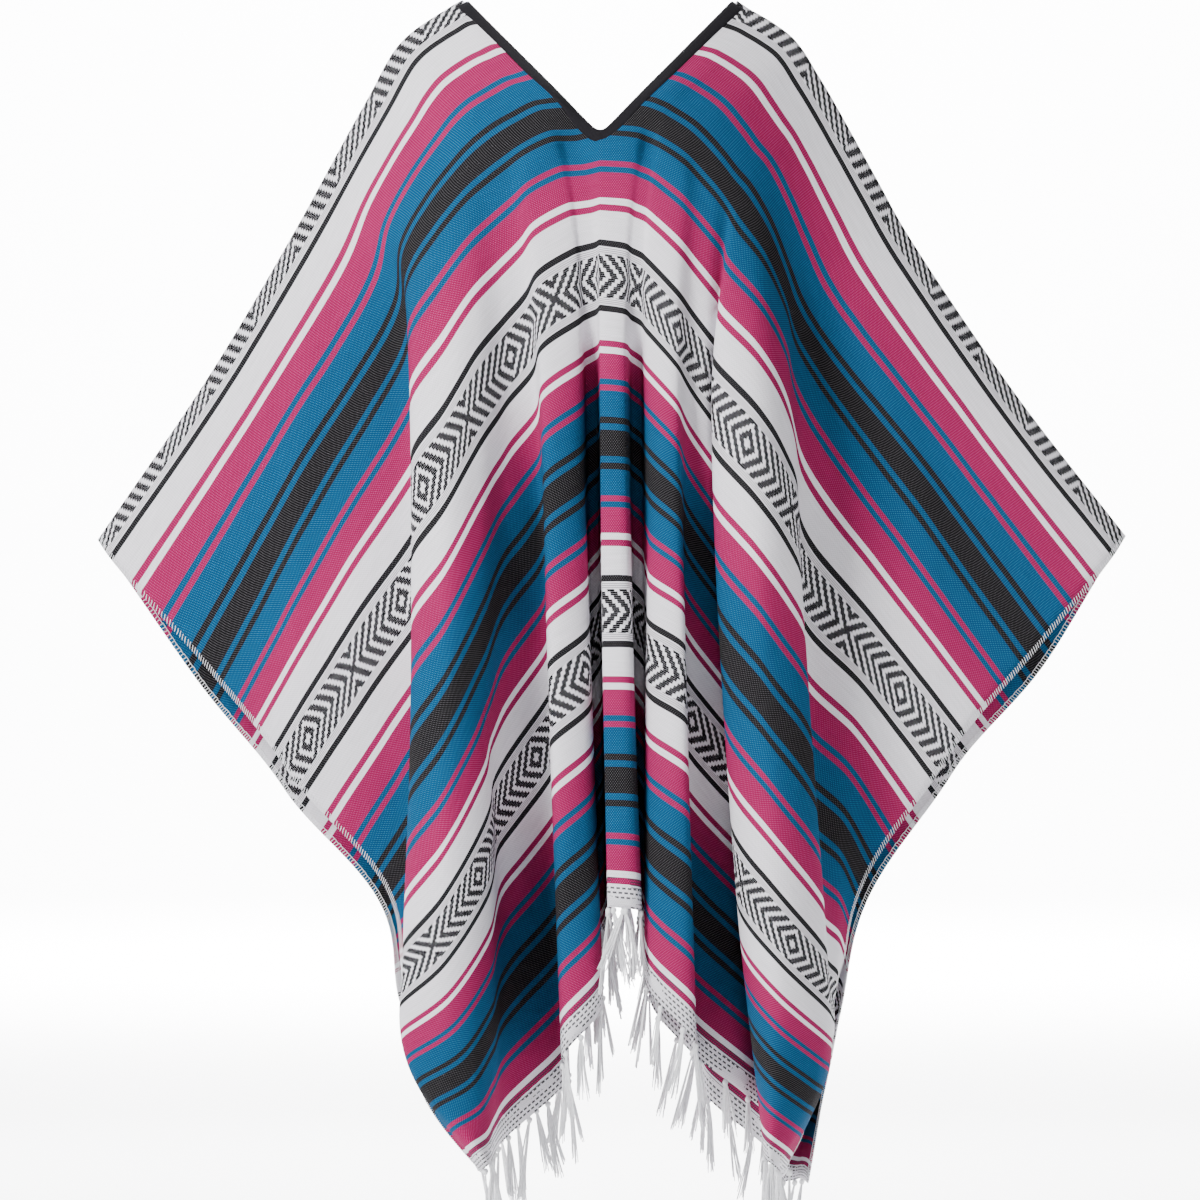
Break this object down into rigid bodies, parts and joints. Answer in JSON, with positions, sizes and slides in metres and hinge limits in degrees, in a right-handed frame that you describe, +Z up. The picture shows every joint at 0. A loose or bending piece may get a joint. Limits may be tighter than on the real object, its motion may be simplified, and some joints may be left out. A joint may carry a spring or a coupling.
{
  "type": "mexican poncho",
  "caption": "Striped woven poncho with a bound V neck and fringed ends, filled out as if worn.",
  "frame": {"origin": "midway between the two ends of the neck opening at the shoulder fold, where shoulders carry it", "axes": "+Z up, the front towards -Y, the wearer's left arm towards +X"},
  "size_m": [1.1316, 0.4436, 1.4191],
  "materials": {
    "striped_weave": "matte",
    "dark_tape": "matte",
    "fringe_yarn": "matte"
  },
  "bodies": {
    "root": {"woven_front": "striped_weave", "woven_back": "striped_weave", "neck_binding": "dark_tape", "fringe_front": "fringe_yarn", "fringe_back": "fringe_yarn"}
  },
  "joints": []
}
